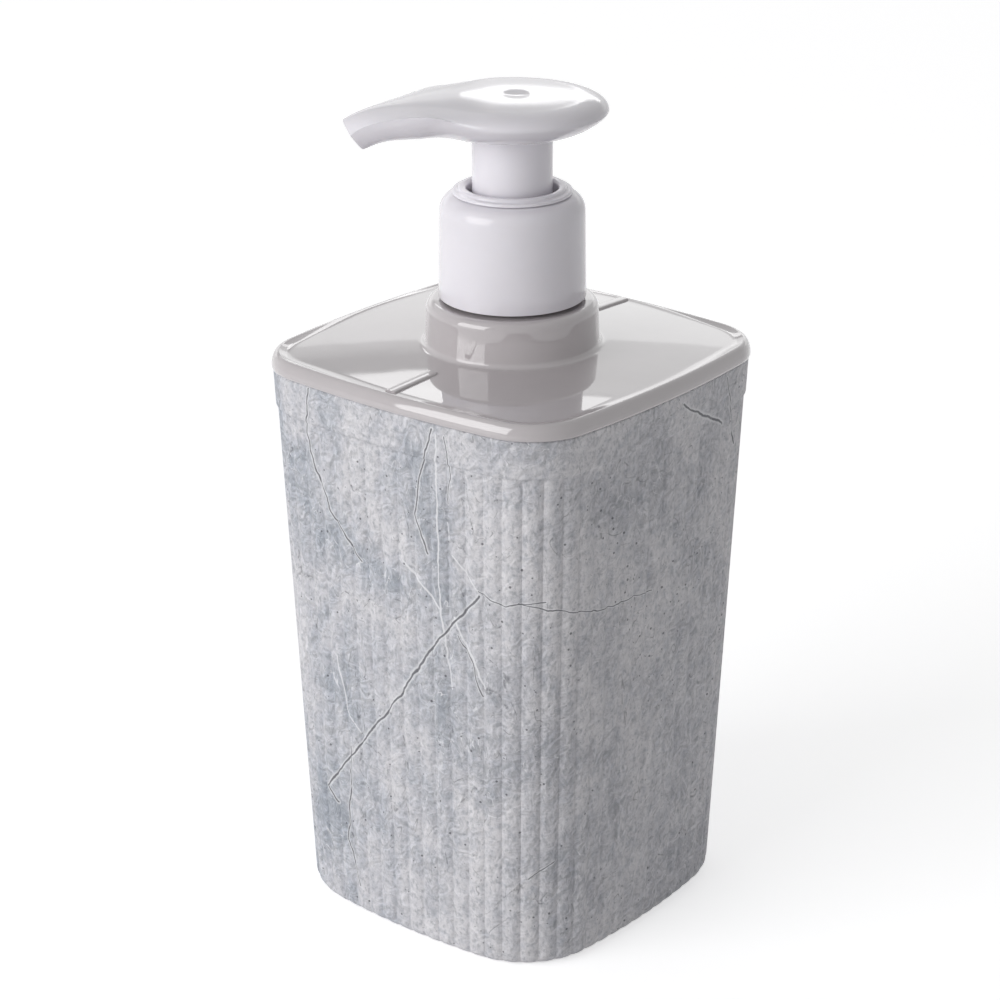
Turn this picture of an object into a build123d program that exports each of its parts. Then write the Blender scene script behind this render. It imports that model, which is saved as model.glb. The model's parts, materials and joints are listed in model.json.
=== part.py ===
"""Soap pump dispenser: a tapered square cup, a lid with a threaded neck, and a screw-on lotion pump.

Millimetres, +Z up. The origin is the centre of the resting face, on the pump's own axis.
The spout points along SPOUT_HEADING degrees, measured from +X towards +Y.
Each function makes one moulding or one bought-in piece, in the place where it sits at rest.
"""
from build123d import *
from math import sqrt
import os

# ---- cup ----
CUP_HEIGHT = 118.2
CUP_TOP_HALF = 39.9          # half the width at the mouth, across the middle of two sides
CUP_TOP_CORNER = 13.7        # radius of the upright corners at the mouth
CUP_TOP_BOW = 250.0          # radius of the gently bowed sides at the mouth
CUP_FOOT_HALF = 37.05
CUP_FOOT_CORNER = 19.0
CUP_FOOT_BOW = 167.0
CUP_WALL = 2.0
CUP_FLOOR = 2.4
FOOT_ROUND = 3.0             # rounding of the bottom edge
FOOT_RECESS = 0.8            # hollow under the floor, which leaves a ring to stand on
FOOT_RING = 5.0              # width of that ring
BAND_HEIGHT = 8.0            # plain band under the lid
BAND_STEP = 0.35             # how far the band stands proud of the fluted wall

# ---- lid ----
LID_OVERHANG = 0.4
LID_RIM_HEIGHT = 3.3
LID_RIM_WIDTH = 2.3
LID_RIM_ROUND = 1.05
LID_PLATE = 2.0
LID_EDGE_DROP = 0.4          # tray surface below the crest of the rim, at the middle of a side
LID_DOME = 0.7               # rise of the tray from there to the foot of the boss
PLUG_DEPTH = 6.0
PLUG_WALL = 1.5
BAR_WIDTH = 2.5              # two low bars on the tray, before and behind the boss
BAR_RISE = 0.4
BAR_START = 25.0             # from the axis to the inner end of a bar
BOSS_RADIUS = 17.6
BOSS_HEIGHT = 13.2           # above the seam between cup and lid
BOSS_DRAFT = 0.3
BOSS_ROUND = 1.8
BOSS_WALL = 2.0
NECK_HEIGHT = 17.5           # above the boss
NECK_BORE = 11.3
NECK_WALL = 1.25

# ---- screw thread between neck and collar, one start, right hand ----
THREAD_PITCH = 4.23
THREAD_DEPTH = 1.1
THREAD_ROOT_WIDTH = 2.0
THREAD_CREST_WIDTH = 1.0
THREAD_LEAD_IN = 2.0         # plain neck above the thread
THREAD_BURY = 0.2            # how far the ridge's foot reaches into the wall that carries it
NECK_TURNS = 1.5
COLLAR_TURNS = 1.25
COLLAR_START = -0.5          # turns round from the start of the neck's thread

# ---- closure collar ----
COLLAR_RADIUS = 15.0
COLLAR_DRAFT = 0.3
COLLAR_WALL = 1.05
COLLAR_GAP = 0.67            # between the boss and the lower edge of the collar
COLLAR_TOP = 1.9
COLLAR_SHOULDER = 3.5

# ---- chaplet, the ring that caps the pump housing ----
WELL_RADIUS = 9.2            # well in which the sleeve of the head moves
WELL_WALL = 0.95
WELL_FLOOR = 1.5
WELL_SPARE = 1.3             # room left under the sleeve at full stroke
CHAPLET_FLANGE = 12.1
CHAPLET_FLANGE_THICK = 0.5
CHAPLET_LIP = 10.6
CHAPLET_LIP_HEIGHT = 1.35

# ---- pump housing and gasket ----
GASKET_THICK = 1.2
HOUSING_FLANGE = 12.3
HOUSING_FLANGE_THICK = 1.3
HOUSING_WALL = 0.8
CYLINDER_BORE = 6.3
CYLINDER_WALL = 1.1
SHOULDER_THICK = 1.5
SPRING_REST = 21.0           # fitted length of the return spring, head up
INLET_BALL = 3.0
INLET_LIFT = 1.2
INLET_PORT = 2.0
CHAMBER_BORE = 3.7
CHAMBER_WALL = 1.3
PIP_SIZE = 1.1
PORT_LENGTH = 1.5
SOCKET_DEPTH = 9.0
SOCKET_WALL = 1.4
TUBE_RADIUS = 3.2
TUBE_WALL = 1.0
TUBE_FLOOR_GAP = 3.0         # from the cup's floor to the end of the dip tube
TUBE_SLANT = 2.2             # the end is cut slanting

# ---- plunger ----
STROKE = 10.1
ROD_RADIUS = 4.0
ROD_LENGTH = 32.5
ROD_CHANNEL = 1.7
ROD_COLLAR = 5.5
ROD_COLLAR_THICK = 1.4
CORE_RADIUS = 2.6
CORE_GRIP = 6.5              # length of the core held in the rod
CORE_BORE = 1.5
CORE_SEAT = 5.0
CORE_SEAT_THICK = 1.5
CORE_SPIGOT = 3.4
CORE_SPIGOT_LENGTH = 4.0
CORE_PORT = 0.8
PISTON_LENGTH = 6.7
PISTON_SLEEVE = 1.2
PISTON_LIP = 0.9
PISTON_LIP_LENGTH = 5.2
PISTON_WEB = 1.3
PISTON_SLIP = 1.5            # lost motion of the piston on the core
OUTLET_BALL = 2.1
OUTLET_LIFT = 1.5
SPRING_RADIUS = 4.8
SPRING_WIRE = 0.9
SPRING_TURNS = 8

# ---- head ----
SPOUT_HEADING = 219.0
HEAD_RADIUS = 19.2
HEAD_STANDOFF = 0.4          # from the spout's keel to the chaplet at full stroke
HEAD_BELLY = 4.7             # from the widest line down to the sleeve
HEAD_CROWN = 3.0             # from the widest line up to the top
HEAD_ROLL = 5.0              # width of the rolled edge in plan
DISH_RADIUS = 11.0
DISH_DEPTH = 0.5
DISH_BACK = 0.8              # the dish is centred a little behind the axis
GATE_RADIUS = 2.4
GATE_DEPTH = 0.35
SLEEVE_RADIUS = 8.1
SLEEVE_WALL = 1.1
SLEEVE_DIP = 4.4             # length of sleeve hidden in the well, head up
SOCKET_TUBE_WALL = 1.4
SOCKET_TUBE_LENGTH = 9.0
SPOUT_ROOT = 9.6             # distance from the axis where the spout leaves the round
SPOUT_REACH = 33.9
SPOUT_SPARE = 1.5            # the spout's form runs on this far past its cut end
SPOUT_TIP_HALF = 3.4
SPOUT_NARROWING = 1.15       # exponents: 1 is straight, more is later
SPOUT_TOP_DROP = 5.6
SPOUT_TOP_CURVE = 2.1
SPOUT_UNDER_DROP = 3.4
SPOUT_UNDER_CURVE = 2.5
SPOUT_KEEL = 0.5             # the spout's underside lies this far below the head's belly
CREASE_DEPTH = 1.2           # from the top line down to the crease, along the middle of the spout
CREASE_TIP_DEPTH = 2.8
CREASE_BLEND = 10            # exponent: how soon the crease leaves the round's widest line
SPOUT_CHANNEL = 1.5
SPOUT_FACE_TILT = 35.0       # degrees that the outlet face looks below level
SPOUT_STATIONS = 7

# ---- clearances ----
SEAT_GAP = 0.02              # between flat faces that rest on each other
PLUG_CLEARANCE = 0.3
THREAD_CLEARANCE = 0.3
BORE_CLEARANCE = 0.3
SLIDE_CLEARANCE = 0.05
BALL_CLEARANCE = 0.05
COLLAR_PLAY = 0.1
PARTING_DROP = 0.25          # the joint of the two head mouldings runs just under the widest line

UPWARDS = (Align.CENTER, Align.CENTER, Align.MIN)

# ---- heights that follow from the sizes above ----
lid_base = CUP_HEIGHT + SEAT_GAP
rim_crest = lid_base + LID_RIM_HEIGHT
tray_edge = rim_crest - LID_EDGE_DROP
boss_top = lid_base + BOSS_HEIGHT
neck_top = boss_top + NECK_HEIGHT
gasket_base = neck_top + SEAT_GAP
flange_base = gasket_base + GASKET_THICK
flange_top = flange_base + HOUSING_FLANGE_THICK
collar_ceiling = flange_top + COLLAR_PLAY
collar_top = collar_ceiling + COLLAR_TOP
collar_base = boss_top + COLLAR_GAP
chaplet_base = collar_top + COLLAR_PLAY
lip_top = chaplet_base + CHAPLET_LIP_HEIGHT
sleeve_base = lip_top - SLEEVE_DIP
well_floor = sleeve_base - STROKE - WELL_SPARE
step_height = well_floor - WELL_FLOOR
rod_base = step_height - ROD_COLLAR_THICK - 2 * SLIDE_CLEARANCE
piston_top = rod_base - PISTON_SLIP - SLIDE_CLEARANCE
piston_base = piston_top - PISTON_LENGTH
core_seat_top = piston_base - SLIDE_CLEARANCE
core_seat_base = core_seat_top - CORE_SEAT_THICK
bore_base = core_seat_base - SPRING_REST
rod_top = rod_base + ROD_LENGTH
core_top = rod_base + CORE_GRIP
belly = lip_top + STROKE + HEAD_STANDOFF + SPOUT_KEEL
widest = belly + HEAD_BELLY
crown = widest + HEAD_CROWN
channel_height = rod_top + SPOUT_CHANNEL + SLIDE_CLEARANCE
cup_floor_top = FOOT_RECESS + CUP_FLOOR

# ---- radii that follow ----
neck_outer = NECK_BORE + NECK_WALL
collar_bore = COLLAR_RADIUS - COLLAR_WALL
collar_hole = WELL_RADIUS + WELL_WALL + BORE_CLEARANCE
well_outer = WELL_RADIUS + WELL_WALL
housing_bore = well_outer + SLIDE_CLEARANCE
housing_outer = housing_bore + HOUSING_WALL
cylinder_outer = CYLINDER_BORE + CYLINDER_WALL

# ---- inlet valve heights ----
# The seat is a cone of 45 degrees, so the ball's centre stands root two radii above the cone's tip.
chamber_top = bore_base
ball_room = INLET_BALL * (1 + sqrt(2)) + INLET_LIFT + PIP_SIZE + 4 * BALL_CLEARANCE
seat_tip = chamber_top - ball_room
seat_base = seat_tip + INLET_PORT
seat_top = seat_tip + CHAMBER_BORE
inlet_ball_height = seat_tip + (INLET_BALL + BALL_CLEARANCE) * sqrt(2)
tube_top = seat_base - PORT_LENGTH
socket_base = tube_top - SOCKET_DEPTH


def turned(points):
    """Body of revolution about the pump axis, from its half section of (radius, height) points."""
    outline = Polyline(*[(radius, 0, height) for radius, height in points], close=True)
    return revolve(make_face(outline), Axis.Z, 360)


def ring(outer, inner, base, top):
    """Plain tube on the pump axis."""
    return turned([(inner, base), (outer, base), (outer, top), (inner, top)])


def bowed_square(half, corner, bow, height):
    """Square face with bowed sides, each tangent to the round corners, at one height."""
    bow_centre = half - bow
    reach = bow - corner
    corner_centre = (bow_centre + sqrt(2 * reach**2 - bow_centre**2)) / 2
    far = bow_centre + bow * (corner_centre - bow_centre) / reach
    near = bow * corner_centre / reach
    tip = corner_centre + corner / sqrt(2)
    side = ThreePointArc((far, -near), (half, 0), (far, near))
    turn = ThreePointArc((far, near), (tip, tip), (near, far))
    edges = [edge.rotate(Axis.Z, 90 * quarter) for quarter in range(4) for edge in (side, turn)]
    return Pos(0, 0, height) * make_face(edges)


def cup_outline(height, inset):
    """Outline of the cup at a height, moved inwards by inset. Every size tapers in a straight line."""
    share = height / CUP_HEIGHT
    half = CUP_FOOT_HALF + (CUP_TOP_HALF - CUP_FOOT_HALF) * share
    corner = CUP_FOOT_CORNER + (CUP_TOP_CORNER - CUP_FOOT_CORNER) * share
    bow = CUP_FOOT_BOW + (CUP_TOP_BOW - CUP_FOOT_BOW) * share
    return bowed_square(half - inset, corner - inset, bow - inset, height)


def tapered(base, top, inset):
    """Solid between two heights of the cup's outline, moved inwards by inset."""
    return loft([cup_outline(base, inset), cup_outline(top, inset)], ruled=True)


def thread_ridge(root, crest, start_height, start_turn, turns):
    """Helical ridge from root radius to crest radius. It starts start_turn turns round from +X."""
    bury = THREAD_BURY if crest < root else -THREAD_BURY
    path = Helix(THREAD_PITCH, THREAD_PITCH * turns, root)
    plane = Plane(origin=path @ 0, x_dir=(1, 0, 0), z_dir=path % 0)
    foot, tip = THREAD_ROOT_WIDTH / 2, THREAD_CREST_WIDTH / 2
    profile = Polyline((bury, -foot), (bury, foot), (crest - root, tip), (crest - root, -tip), close=True)
    ridge = sweep(plane * make_face(profile), path, is_frenet=True)
    return Pos(0, 0, start_height) * Rot(0, 0, 360 * start_turn) * ridge


def cup():
    """Tapered square cup, with a plain band under the lid and a foot ring."""
    ledge = CUP_HEIGHT - BAND_HEIGHT
    wall = tapered(0, ledge, BAND_STEP)
    wall = fillet(wall.faces().sort_by(Axis.Z)[0].edges(), FOOT_ROUND)
    outside = wall + tapered(ledge, CUP_HEIGHT, 0)
    inside = tapered(cup_floor_top, CUP_HEIGHT, CUP_WALL)
    recess = extrude(cup_outline(0, BAND_STEP + FOOT_ROUND + FOOT_RING), FOOT_RECESS)
    return outside - inside - recess


def tray_dome(drop):
    """Everything under the lid's shallow dome, lowered by drop. It falls from the boss to the rim."""
    edge = CUP_TOP_HALF + LID_OVERHANG - LID_RIM_WIDTH
    depth = (edge**2 - BOSS_RADIUS**2 - LID_DOME**2) / (2 * LID_DOME)
    radius = sqrt(edge**2 + depth**2)
    ball = Pos(0, 0, tray_edge - drop - depth) * Sphere(radius)
    slab = Pos(0, 0, lid_base) * Box(2 * radius, 2 * radius, BOSS_HEIGHT, align=UPWARDS)
    return ball & slab


def lid():
    """Glossy lid: rounded rim, domed tray, plug that enters the cup, boss and threaded neck."""
    rim = extrude(cup_outline(CUP_HEIGHT, -LID_OVERHANG), LID_RIM_HEIGHT)
    opening = extrude(cup_outline(CUP_HEIGHT, LID_RIM_WIDTH - LID_OVERHANG), LID_RIM_HEIGHT)
    bead = rim - opening
    bead = fillet(bead.faces().sort_by(Axis.Z)[-1].edges(), LID_RIM_ROUND)
    bead = Pos(0, 0, SEAT_GAP) * bead
    opening = Pos(0, 0, SEAT_GAP) * opening

    plug_inset = CUP_WALL + PLUG_CLEARANCE
    plug_base = lid_base - PLUG_DEPTH
    plug = tapered(plug_base, lid_base, plug_inset) - tapered(plug_base, lid_base, plug_inset + PLUG_WALL)
    under = extrude(cup_outline(CUP_HEIGHT, plug_inset + PLUG_WALL), BOSS_HEIGHT)
    bars = Pos(0, 0, lid_base) * (
        Box(BAR_WIDTH, 2 * CUP_TOP_HALF, BOSS_HEIGHT, align=UPWARDS)
        - Box(BAR_WIDTH, 2 * BAR_START, BOSS_HEIGHT, align=UPWARDS))
    tray = (opening & tray_dome(0)) + (opening & bars & tray_dome(-BAR_RISE))
    tray -= under & tray_dome(LID_PLATE)

    boss_base = tray_edge - LID_PLATE
    boss = turned([(0, boss_base), (BOSS_RADIUS + BOSS_DRAFT, boss_base),
                   (BOSS_RADIUS, boss_top), (0, boss_top)])
    boss = fillet(boss.edges().filter_by(GeomType.CIRCLE).sort_by(Axis.Z)[-1], BOSS_ROUND)
    boss_room = ring(BOSS_RADIUS - BOSS_WALL, 0, lid_base, boss_top - BOSS_WALL)
    neck = ring(neck_outer, NECK_BORE, boss_top - BOSS_WALL, neck_top)
    start = neck_top - THREAD_LEAD_IN - NECK_TURNS * THREAD_PITCH
    thread = thread_ridge(neck_outer, neck_outer + THREAD_DEPTH, start, 0, NECK_TURNS)
    bore = ring(NECK_BORE, 0, lid_base, neck_top)
    return bead + plug + tray + boss - boss_room - bore + neck + thread


def circle_at(solid, height):
    """Largest round edge of a solid at a height."""
    circles = solid.edges().filter_by(GeomType.CIRCLE)
    level = circles.filter_by(lambda edge: abs(edge.center().Z - height) < 1e-6)
    return level.sort_by(SortBy.RADIUS)[-1]


def closure_collar():
    """Screw collar: smooth outside with a round shoulder, one thread inside, a hole for the chaplet."""
    shell = turned([(collar_bore, collar_base), (COLLAR_RADIUS, collar_base),
                    (COLLAR_RADIUS - COLLAR_DRAFT, collar_top), (collar_hole, collar_top),
                    (collar_hole, collar_ceiling), (collar_bore, collar_ceiling)])
    shell = fillet(circle_at(shell, collar_top), COLLAR_SHOULDER)
    shell = fillet(circle_at(shell, collar_ceiling), COLLAR_SHOULDER / 2)
    start = neck_top - THREAD_LEAD_IN - (NECK_TURNS + 1) * THREAD_PITCH
    thread = thread_ridge(collar_bore, neck_outer + THREAD_CLEARANCE, start, COLLAR_START, COLLAR_TURNS)
    return shell + thread


def neck_gasket():
    """Flat foam washer between the neck's rim and the pump's flange."""
    return ring(HOUSING_FLANGE, housing_outer + SLIDE_CLEARANCE, gasket_base, flange_base - SEAT_GAP)


def pump_housing():
    """Pump body: flange, wide cup for the chaplet, cylinder, inlet valve seat and dip tube socket."""
    chamber_outer = CHAMBER_BORE + CHAMBER_WALL
    socket_outer = TUBE_RADIUS + SOCKET_WALL
    body = turned([
        (0, socket_base), (socket_outer, socket_base), (socket_outer, tube_top),
        (chamber_outer, seat_base), (chamber_outer, chamber_top - CHAMBER_WALL),
        (cylinder_outer, chamber_top), (cylinder_outer, step_height - SHOULDER_THICK),
        (housing_outer, step_height - SHOULDER_THICK), (housing_outer, flange_base),
        (HOUSING_FLANGE, flange_base), (HOUSING_FLANGE, flange_top), (0, flange_top)])
    room = turned([
        (0, socket_base), (TUBE_RADIUS, socket_base), (TUBE_RADIUS, tube_top), (INLET_PORT, tube_top),
        (INLET_PORT, seat_base), (CHAMBER_BORE, seat_top), (CHAMBER_BORE, chamber_top),
        (CYLINDER_BORE, chamber_top), (CYLINDER_BORE, step_height), (housing_bore, step_height),
        (housing_bore, flange_top), (0, flange_top)])
    body = body - room
    pip = Pos(CHAMBER_BORE, 0, chamber_top - PIP_SIZE / 2) * Box(2 * PIP_SIZE, PIP_SIZE, PIP_SIZE)
    for third in range(3):
        body += Rot(0, 0, 120 * third) * pip
    return body


def dip_tube():
    """Suction tube down to the cup's floor, with a slanting end."""
    base = cup_floor_top + TUBE_FLOOR_GAP
    tube = ring(TUBE_RADIUS, TUBE_RADIUS - TUBE_WALL, base, tube_top)
    slope = Plane.XZ * make_face(Polyline((-TUBE_RADIUS, base), (TUBE_RADIUS, base),
                                          (TUBE_RADIUS, base + TUBE_SLANT), close=True))
    return tube - extrude(slope, TUBE_RADIUS, both=True)


def inlet_ball():
    """Check ball that closes the bottom of the cylinder."""
    return Pos(0, 0, inlet_ball_height) * Sphere(INLET_BALL)


def return_spring():
    """Coil spring between the cylinder's floor and the underside of the core."""
    start = bore_base + SPRING_WIRE / 2 + SLIDE_CLEARANCE
    rise = SPRING_REST - SPRING_WIRE - 2 * SLIDE_CLEARANCE
    path = Helix(rise / SPRING_TURNS, rise, SPRING_RADIUS)
    wire = Plane(origin=path @ 0, z_dir=path % 0) * Circle(SPRING_WIRE / 2)
    return Pos(0, 0, start) * sweep(wire, path, is_frenet=True)


def chaplet():
    """Ring that snaps into the housing: stepped lip on the collar, deep well, guide for the rod."""
    return turned([
        (ROD_RADIUS + 2 * SLIDE_CLEARANCE, step_height), (well_outer, step_height),
        (well_outer, chaplet_base), (CHAPLET_FLANGE, chaplet_base),
        (CHAPLET_FLANGE, chaplet_base + CHAPLET_FLANGE_THICK),
        (CHAPLET_LIP + CHAPLET_FLANGE_THICK, chaplet_base + 2 * CHAPLET_FLANGE_THICK),
        (CHAPLET_LIP, lip_top), (WELL_RADIUS, lip_top), (WELL_RADIUS, well_floor),
        (ROD_RADIUS + 2 * SLIDE_CLEARANCE, well_floor)])


def piston_rod():
    """Hollow rod: a collar that stops it under the chaplet, an outlet valve chamber, a channel."""
    ceiling = outlet_ball_height() + OUTLET_LIFT + sqrt(OUTLET_BALL**2 - ROD_CHANNEL**2) + BALL_CLEARANCE
    return turned([
        (CORE_RADIUS, rod_base), (ROD_COLLAR, rod_base), (ROD_COLLAR, rod_base + ROD_COLLAR_THICK),
        (ROD_RADIUS, rod_base + ROD_COLLAR_THICK), (ROD_RADIUS, rod_top), (ROD_CHANNEL, rod_top),
        (ROD_CHANNEL, ceiling), (CORE_RADIUS, ceiling)])


def outlet_ball_height():
    """Height of the outlet ball's centre when it rests on the top of the core."""
    return core_top + sqrt((OUTLET_BALL + BALL_CLEARANCE)**2 - CORE_BORE**2)


def outlet_ball():
    """Check ball inside the rod, resting on the top of the core."""
    return Pos(0, 0, outlet_ball_height()) * Sphere(OUTLET_BALL)


def piston_core():
    """Valve stem pressed into the rod: seat for the piston, side ports, spigot for the spring."""
    core = turned([
        (0, core_seat_base - CORE_SPIGOT_LENGTH), (CORE_SPIGOT, core_seat_base - CORE_SPIGOT_LENGTH),
        (CORE_SPIGOT, core_seat_base), (CORE_SEAT, core_seat_base),
        (CORE_SEAT, core_seat_top), (CORE_RADIUS, core_seat_top), (CORE_RADIUS, core_top), (0, core_top)])
    port_height = core_seat_top + 2 * CORE_PORT
    core -= Pos(0, 0, port_height) * Cylinder(CORE_BORE, core_top - port_height, align=UPWARDS)
    port = Pos(0, 0, port_height) * Rot(0, 90, 0) * Cylinder(CORE_PORT, 3 * CORE_RADIUS)
    return core - port - Rot(0, 0, 90) * port


def piston_seal():
    """Sliding piston: inner sleeve on the core, web, and a lipped skirt that wipes the cylinder."""
    bore = CORE_RADIUS + SLIDE_CLEARANCE
    sleeve = ring(bore + PISTON_SLEEVE, bore, piston_base, piston_top)
    middle = (piston_base + piston_top) / 2
    lip_outer = CYLINDER_BORE - SLIDE_CLEARANCE
    web = ring(lip_outer, bore, middle - PISTON_WEB / 2, middle + PISTON_WEB / 2)
    reach = PISTON_LIP_LENGTH / 2
    skirt = ring(lip_outer, lip_outer - PISTON_LIP, middle - reach, middle + reach)
    return sleeve + web + skirt


def spout_line(share):
    """Half width and the heights of top, crease and underside, at a share of the spout's length."""
    left = 1 - share
    root_half = sqrt(HEAD_RADIUS**2 - SPOUT_ROOT**2)
    half = SPOUT_TIP_HALF + (root_half - SPOUT_TIP_HALF) * left**SPOUT_NARROWING
    top = crown - SPOUT_TOP_DROP * share**SPOUT_TOP_CURVE
    depth = CREASE_DEPTH + (HEAD_CROWN - CREASE_DEPTH) * left**CREASE_BLEND
    crease = top - depth - (CREASE_TIP_DEPTH - CREASE_DEPTH) * share**2
    under = belly - SPOUT_KEEL - SPOUT_UNDER_DROP * share**SPOUT_UNDER_CURVE
    return half, top, crease, under


def spout_stations():
    """Distances from the axis and shares of length at which the spout's form is laid down."""
    length = SPOUT_REACH + SPOUT_SPARE - SPOUT_ROOT
    shares = [index / (SPOUT_STATIONS - 1) for index in range(SPOUT_STATIONS)]
    return [(SPOUT_ROOT + length * share, share) for share in shares]


def head_form():
    """Outside of the whole head: a round with a rolled edge, a tapering spout and a thumb dish."""
    inner = HEAD_RADIUS - HEAD_ROLL
    outline = [
        Line((0, 0, belly), (0, 0, crown)),
        Line((0, 0, crown), (inner, 0, crown)),
        Spline((inner, 0, crown), (HEAD_RADIUS, 0, widest), tangents=[(1, 0, 0), (0, 0, -1)]),
        Spline((HEAD_RADIUS, 0, widest), (SLEEVE_RADIUS, 0, belly), tangents=[(0, 0, -1), (-1, 0, 0)]),
        Line((SLEEVE_RADIUS, 0, belly), (0, 0, belly))]
    form = revolve(make_face(outline), Axis.Z, 360)
    sections = []
    for distance, share in spout_stations():
        half, top, crease, under = spout_line(share)
        left, right = (distance, -half, crease), (distance, half, crease)
        over = ThreePointArc(left, (distance, 0, top), right)
        beneath = ThreePointArc(right, (distance, 0, under), left)
        sections.append(make_face([over, beneath]))
    form += loft(sections)
    tip_top = spout_line(1 - SPOUT_SPARE / (SPOUT_REACH + SPOUT_SPARE - SPOUT_ROOT))[1]
    beyond = Box(SPOUT_REACH, 2 * HEAD_RADIUS, 2 * HEAD_RADIUS, align=(Align.MIN, Align.CENTER, Align.CENTER))
    form -= Pos(SPOUT_REACH, 0, tip_top) * Rot(0, SPOUT_FACE_TILT, 0) * beyond
    return form - cap(DISH_RADIUS, DISH_DEPTH, crown, DISH_BACK) - cap(
        GATE_RADIUS, GATE_DEPTH, crown - DISH_DEPTH, DISH_BACK)


def cap(radius, depth, height, back):
    """Ball that sinks a round hollow of a radius and a depth into a level face at a height."""
    ball_radius = (radius**2 + depth**2) / (2 * depth)
    return Pos(-back, 0, height - depth + ball_radius) * Sphere(ball_radius)


def under_joint():
    """Everything under the joint of the two head mouldings, which follows the crease of the spout."""
    level = widest - PARTING_DROP
    points = [(distance, 0, spout_line(share)[2] - PARTING_DROP) for distance, share in spout_stations()]
    start = (-2 * HEAD_RADIUS, 0, level)
    low = belly - HEAD_RADIUS
    corner = (points[-1][0], 0, low)
    edges = [Line(start, points[0]), Spline(*points), Line(points[-1], corner),
             Line(corner, (start[0], 0, low)), Line((start[0], 0, low), start)]
    return extrude(make_face(edges), 2 * HEAD_RADIUS, dir=(0, 1, 0), both=True)


def channel():
    """Way of the soap through the head: up from the rod, along the spout and out at its tip."""
    middle = SPOUT_REACH / 2
    half, top, crease, under = spout_line((middle - SPOUT_ROOT) / (SPOUT_REACH + SPOUT_SPARE - SPOUT_ROOT))
    tip = spout_line(1)
    points = [(0, 0, channel_height), (middle, 0, (top + under) / 2),
              (SPOUT_REACH + SPOUT_SPARE, 0, (tip[1] + tip[3]) / 2)]
    path = Polyline(*points)
    plane = Plane(origin=points[0], z_dir=path % 0)
    way = sweep(plane * Circle(SPOUT_CHANNEL), path, transition=Transition.ROUND)
    riser = Pos(0, 0, rod_top) * Cylinder(ROD_CHANNEL, channel_height - rod_top, align=UPWARDS)
    return way + riser + Pos(0, 0, channel_height) * Sphere(ROD_CHANNEL)


def head_base():
    """Lower moulding of the head: belly and spout trough, sleeve, and the socket that takes the rod."""
    body = head_form() & under_joint()
    body += ring(SLEEVE_RADIUS, SLEEVE_RADIUS - SLEEVE_WALL, sleeve_base, belly + SLEEVE_WALL)
    grip = ROD_RADIUS + SLIDE_CLEARANCE
    body += ring(grip + SOCKET_TUBE_WALL, grip, rod_top - SOCKET_TUBE_LENGTH, belly + SLEEVE_WALL)
    hole = Pos(0, 0, rod_top - SOCKET_TUBE_LENGTH) * Cylinder(
        grip, SOCKET_TUBE_LENGTH + SLIDE_CLEARANCE, align=UPWARDS)
    return Rot(0, 0, SPOUT_HEADING) * (body - hole - channel())


def head_top():
    """Upper moulding of the head: the dished thumb plate that closes the spout from above."""
    return Rot(0, 0, SPOUT_HEADING) * (head_form() - under_joint() - channel())


PIECES = [cup, lid, closure_collar, neck_gasket, pump_housing, dip_tube, inlet_ball, return_spring,
          chaplet, piston_rod, outlet_ball, piston_core, piston_seal, head_base, head_top]

os.makedirs("parts", exist_ok=True)
for make in PIECES:
    export_step(make(), f"parts/{make.__name__}.step")
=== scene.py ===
# %% [markdown]
# # A soap pump dispenser
# The real thing is a tapered square tumbler of matte polypropylene, printed to look like concrete, a
# high-gloss grey lid, and a white lotion pump screwed on its neck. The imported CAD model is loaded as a
# fixed frame. What shows is then dressed with smooth surfaces worked out as arrays of points.

# %% Load the frame
import json
from math import cos, pi, radians, sin, sqrt, tan

import bmesh
import bpy
import numpy as np
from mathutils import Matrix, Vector


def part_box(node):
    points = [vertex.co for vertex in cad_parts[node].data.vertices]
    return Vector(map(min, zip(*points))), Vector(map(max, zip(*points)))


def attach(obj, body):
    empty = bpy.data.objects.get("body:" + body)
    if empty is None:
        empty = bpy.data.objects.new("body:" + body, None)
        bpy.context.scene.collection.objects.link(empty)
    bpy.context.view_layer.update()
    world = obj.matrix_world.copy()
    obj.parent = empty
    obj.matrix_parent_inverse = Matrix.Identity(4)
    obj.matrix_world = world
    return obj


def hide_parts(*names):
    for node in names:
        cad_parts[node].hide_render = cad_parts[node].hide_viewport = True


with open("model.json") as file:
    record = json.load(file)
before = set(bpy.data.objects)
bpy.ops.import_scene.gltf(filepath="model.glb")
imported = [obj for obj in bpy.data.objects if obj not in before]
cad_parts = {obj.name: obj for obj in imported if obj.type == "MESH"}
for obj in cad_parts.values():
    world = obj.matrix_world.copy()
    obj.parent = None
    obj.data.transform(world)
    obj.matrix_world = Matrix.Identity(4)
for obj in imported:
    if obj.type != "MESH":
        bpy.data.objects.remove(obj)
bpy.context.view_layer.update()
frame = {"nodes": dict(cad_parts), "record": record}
MM = 0.001
scene = bpy.context.scene

# %% [markdown]
# ## From arrays to meshes
# Every new piece is a sheet of points, rows by columns, that is closed round on itself. One helper turns
# such an array into faces. A grid is chosen over a subdivided cage because each shape here has a formula,
# so its curvature is exact where the gloss would show a dent. Sizes are in millimetres all through, and
# MM turns them to metres when a mesh is made.

# %% Faces between points
CREASE = 35


def grid_faces(index, wrap_rows=False):
    """Four-sided faces that join each point of a table of point numbers to its right and lower
    neighbours. Columns always wrap round, rows only where asked."""
    below = np.roll(index, -1, axis=0)
    if not wrap_rows:
        index, below = index[:-1], below[:-1]
    right, below_right = np.roll(index, -1, axis=1), np.roll(below, -1, axis=1)
    return np.stack([index, right, below_right, below], axis=-1).reshape(-1, 4)


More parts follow.
